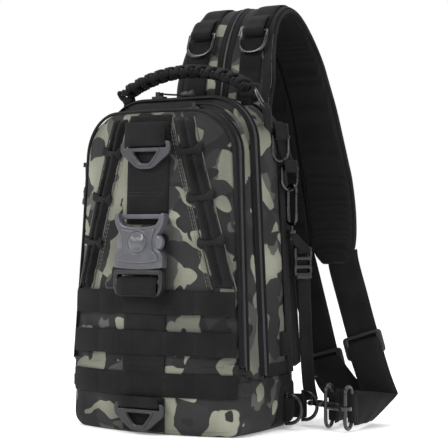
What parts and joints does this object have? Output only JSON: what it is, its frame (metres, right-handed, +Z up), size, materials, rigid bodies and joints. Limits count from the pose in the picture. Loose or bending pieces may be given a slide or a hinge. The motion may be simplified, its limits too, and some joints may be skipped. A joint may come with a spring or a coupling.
{
  "type": "sling bag",
  "caption": "Camouflage tactical sling bag with two zipped compartments, ladder webbing, side-release buckle, carry handle and padded split shoulder strap.",
  "frame": {"origin": "centre of the base, on the plane the bag stands on", "axes": "+Z up; -Y is the front face with the buckle; +X is the right-hand side seen from the front"},
  "size_m": [0.329, 0.2473, 0.463],
  "materials": {
    "camo_cloth": "matt woven nylon, camouflage print",
    "pad_mesh": "black spacer mesh over foam",
    "lining": "smooth black lining",
    "zip_tape": "black woven tape with nylon coil",
    "webbing": "ribbed black nylon webbing",
    "paracord": "braided black cord",
    "slider_metal": "black coated, satin",
    "pull_rubber": "matt black",
    "ring_metal": "gunmetal plate",
    "triangle_plastic": "dark grey, fine grain",
    "buckle_plastic": "dark grey, satin",
    "black_plastic": "black, satin"
  },
  "bodies": {
    "bag": {"bottom_tub": "camo_cloth", "rear_shell": "camo_cloth", "back_pads": "pad_mesh", "inner_sleeve": "lining", "main_zip_rear_tape": "zip_tape", "lower_ladder_band": "webbing", "lower_ring_loop": "webbing", "handle_loops": "webbing", "strap_pad_left": "pad_mesh", "strap_pad_right": "pad_mesh", "strap_webbing": "webbing", "strap_ring_loops": "webbing", "sling_web_left": "webbing", "sling_web_right": "webbing", "sling_eyes": "webbing", "base_ring_tabs": "webbing", "side_webbing": "webbing", "clip_collar": "webbing", "side_strap": "webbing"},
    "main_flap": {"mid_frame": "camo_cloth", "main_zip_front_tape": "zip_tape", "pocket_zip_rear_tape": "zip_tape"},
    "pocket_flap": {"front_cover": "camo_cloth", "pocket_zip_front_tape": "zip_tape", "centre_webbing": "webbing", "ladder_bands": "webbing", "diagonal_loops": "webbing", "buckle_socket": "buckle_plastic"},
    "plug": {"buckle_plug": "buckle_plastic", "plug_webbing": "webbing"},
    "upper_triangle_ring": {"upper_triangle_ring": "triangle_plastic"},
    "lower_triangle_ring": {"lower_triangle_ring": "triangle_plastic"},
    "buckle_arm_left": {"buckle_arm_left": "buckle_plastic"},
    "buckle_arm_right": {"buckle_arm_right": "buckle_plastic"},
    "pocket_slider_top": {"pocket_slider_top": "slider_metal"},
    "pocket_pull_top": {"pocket_pull_top": "pull_rubber"},
    "main_slider_top": {"main_slider_top": "slider_metal"},
    "main_pull_top": {"main_pull_top": "pull_rubber"},
    "pocket_slider_side": {"pocket_slider_side": "slider_metal"},
    "pocket_pull_side": {"pocket_pull_side": "pull_rubber"},
    "main_slider_side": {"main_slider_side": "slider_metal"},
    "main_pull_side": {"main_pull_side": "pull_rubber"},
    "carry_handle": {"carry_handle": "paracord"},
    "strap_ring_left": {"strap_ring_left": "ring_metal"},
    "strap_ring_right": {"strap_ring_right": "ring_metal"},
    "oval_ring_left": {"oval_ring_left": "black_plastic"},
    "oval_ring_right": {"oval_ring_right": "black_plastic"},
    "slider_bar_left": {"slider_bar_left": "black_plastic"},
    "slider_bar_right": {"slider_bar_right": "black_plastic"},
    "snap_eye": {"snap_eye": "black_plastic"},
    "snap_hook": {"snap_hook": "black_plastic"},
    "snap_hook_gate": {"snap_hook_gate": "ring_metal"},
    "base_ring_front": {"base_ring_front": "black_plastic"},
    "base_ring_rear": {"base_ring_rear": "black_plastic"},
    "base_ring_left": {"base_ring_left": "black_plastic"},
    "side_ring_upper": {"side_ring_upper": "ring_metal"},
    "side_ring_lower": {"side_ring_lower": "ring_metal"},
    "side_clip": {"side_clip": "ring_metal"},
    "side_clip_gate": {"side_clip_gate": "ring_metal"},
    "ladder_lock": {"ladder_lock": "black_plastic"}
  },
  "joints": [
    {"name": "main_flap_hinge", "type": "hinge", "parent": "bag", "child": "main_flap", "pos_m": [0, -0.077, 0.0662], "axis": [1, 0, 0], "range_deg": [0, 35]},
    {"name": "pocket_flap_hinge", "type": "hinge", "parent": "main_flap", "child": "pocket_flap", "pos_m": [0, -0.077, 0.0702], "axis": [1, 0, 0], "range_deg": [0, 55]},
    {"name": "pocket_slider_top_run", "type": "slide", "parent": "pocket_flap", "child": "pocket_slider_top", "axis": [1, 0, 0], "range_m": [-0.06, 0]},
    {"name": "pocket_pull_top_lift", "type": "hinge", "parent": "pocket_slider_top", "child": "pocket_pull_top", "pos_m": [0.038, -0.03581, 0.34234], "axis": [0, -0.999, 0.0436], "range_deg": [0, 70]},
    {"name": "main_slider_top_run", "type": "slide", "parent": "main_flap", "child": "main_slider_top", "axis": [1, 0, 0], "range_m": [-0.016, 0.06]},
    {"name": "main_pull_top_lift", "type": "hinge", "parent": "main_slider_top", "child": "main_pull_top", "pos_m": [-0.026, -0.008, 0.359], "axis": [0, -1, 0], "range_deg": [0, 15]},
    {"name": "pocket_slider_side_run", "type": "slide", "parent": "pocket_flap", "child": "pocket_slider_side", "axis": [-0.0551, -0.0436, -0.9975], "range_m": [0, 0.15]},
    {"name": "pocket_pull_side_lift", "type": "hinge", "parent": "pocket_slider_side", "child": "pocket_pull_side", "pos_m": [-0.10132, -0.03845, 0.28189], "axis": [0, 0.999, -0.0436], "range_deg": [0, 90]},
    {"name": "main_slider_side_run", "type": "slide", "parent": "main_flap", "child": "main_slider_side", "axis": [-0.0492, 0, -0.9988], "range_m": [0, 0.15]},
    {"name": "main_pull_side_lift", "type": "hinge", "parent": "main_slider_side", "child": "main_pull_side", "pos_m": [-0.10199, -0.008, 0.30044], "axis": [0, 1, 0], "range_deg": [0, 90]},
    {"name": "upper_triangle_swing", "type": "hinge", "parent": "pocket_flap", "child": "upper_triangle_ring", "pos_m": [0, -0.07255, 0.3009], "axis": [1, 0, 0], "range_deg": [-75, 0]},
    {"name": "lower_triangle_swing", "type": "hinge", "parent": "bag", "child": "lower_triangle_ring", "pos_m": [0, -0.0844, 0.031], "axis": [1, 0, 0], "range_deg": [-75, 0]},
    {"name": "buckle_release", "type": "slide", "parent": "pocket_flap", "child": "plug", "axis": [0, -0.0436, -0.999], "range_m": [0, 0.036]},
    {"name": "buckle_arm_left_press", "type": "hinge", "parent": "plug", "child": "buckle_arm_left", "pos_m": [-0.0165, -0.0835, 0.17175], "axis": [0, 0.999, -0.0436], "range_deg": [0, 7], "stiffness_Nm_per_rad": 0.2},
    {"name": "buckle_arm_right_press", "type": "hinge", "parent": "plug", "child": "buckle_arm_right", "pos_m": [0.0165, -0.0835, 0.17175], "axis": [0, -0.999, 0.0436], "range_deg": [0, 7], "stiffness_Nm_per_rad": 0.2},
    {"name": "handle_swing", "type": "hinge", "parent": "bag", "child": "carry_handle", "pos_m": [0, 0.006, 0.355], "axis": [1, 0, 0], "range_deg": [-30, 30]},
    {"name": "strap_ring_left_swing", "type": "hinge", "parent": "bag", "child": "strap_ring_left", "pos_m": [-0.019, 0.0696, 0.4316], "axis": [1, 0, 0], "range_deg": [-80, 1]},
    {"name": "strap_ring_right_swing", "type": "hinge", "parent": "bag", "child": "strap_ring_right", "pos_m": [0.049, 0.0696, 0.4316], "axis": [1, 0, 0], "range_deg": [-80, 1]},
    {"name": "oval_ring_right_turn", "type": "hinge", "parent": "bag", "child": "oval_ring_right", "pos_m": [0.176, 0.052, 0.025], "axis": [0, 0, 1], "range_deg": [-3, 3]},
    {"name": "oval_ring_left_turn", "type": "hinge", "parent": "bag", "child": "oval_ring_left", "pos_m": [0.15, 0.0593, 0.025], "axis": [0, 0, 1], "range_deg": [-3, 3]},
    {"name": "slider_bar_right_run", "type": "slide", "parent": "bag", "child": "slider_bar_right", "axis": [-0.3005, 0.0366, 0.9531], "range_m": [0, 0.05]},
    {"name": "slider_bar_left_run", "type": "slide", "parent": "bag", "child": "slider_bar_left", "axis": [-0.2772, 0.0262, 0.9604], "range_m": [0, 0.06]},
    {"name": "snap_eye_turn", "type": "hinge", "parent": "bag", "child": "snap_eye", "pos_m": [0.176, 0.036, 0.025], "axis": [0, 0, 1], "range_deg": [-1, 1]},
    {"name": "snap_hook_swivel", "type": "hinge", "parent": "snap_eye", "child": "snap_hook", "pos_m": [0.176, 0.036, 0.025], "axis": [-0.8616, 0.5075, 0], "range_deg": [-8, 8]},
    {"name": "snap_gate_press", "type": "hinge", "parent": "snap_hook", "child": "snap_hook_gate", "pos_m": [0.1352, 0.05225, 0.025], "axis": [0, 0, -1], "range_deg": [0, 18], "stiffness_Nm_per_rad": 0.05},
    {"name": "base_ring_front_swing", "type": "hinge", "parent": "bag", "child": "base_ring_front", "pos_m": [0.111, 0.03, 0.021], "axis": [0, 0, 1], "range_deg": [-60, 40]},
    {"name": "base_ring_rear_swing", "type": "hinge", "parent": "bag", "child": "base_ring_rear", "pos_m": [0.111, 0.066, 0.021], "axis": [0, 0, 1], "range_deg": [-1, 1]},
    {"name": "base_ring_left_swing", "type": "hinge", "parent": "bag", "child": "base_ring_left", "pos_m": [-0.111, 0.066, 0.021], "axis": [0, 0, 1], "range_deg": [-60, 60]},
    {"name": "side_ring_upper_swing", "type": "hinge", "parent": "bag", "child": "side_ring_upper", "pos_m": [0.0995, 0.036, 0.311], "axis": [-0.342, -0.9397, 0], "range_deg": [0, 60]},
    {"name": "side_ring_lower_swing", "type": "hinge", "parent": "bag", "child": "side_ring_lower", "pos_m": [0.104, 0.048, 0.277], "axis": [-0.342, -0.9397, 0], "range_deg": [-2, 2]},
    {"name": "side_clip_swivel", "type": "hinge", "parent": "bag", "child": "side_clip", "pos_m": [0.1052, 0.0513, 0.238], "axis": [0, 0, 1], "range_deg": [-6, 6]},
    {"name": "side_clip_gate_press", "type": "hinge", "parent": "side_clip", "child": "side_clip_gate", "pos_m": [0.11131, 0.04908, 0.2303], "axis": [-0.342, -0.9397, 0], "range_deg": [0, 12], "stiffness_Nm_per_rad": 0.05},
    {"name": "ladder_lock_tilt", "type": "hinge", "parent": "bag", "child": "ladder_lock", "pos_m": [0.112, 0.063, 0.19], "axis": [-0.342, -0.9397, 0], "range_deg": [0, 20]}
  ],
  "couplings": [
    {"joint": "pocket_pull_top_lift", "follows": "pocket_slider_top_run", "rad_per_m": -17.5}
  ]
}
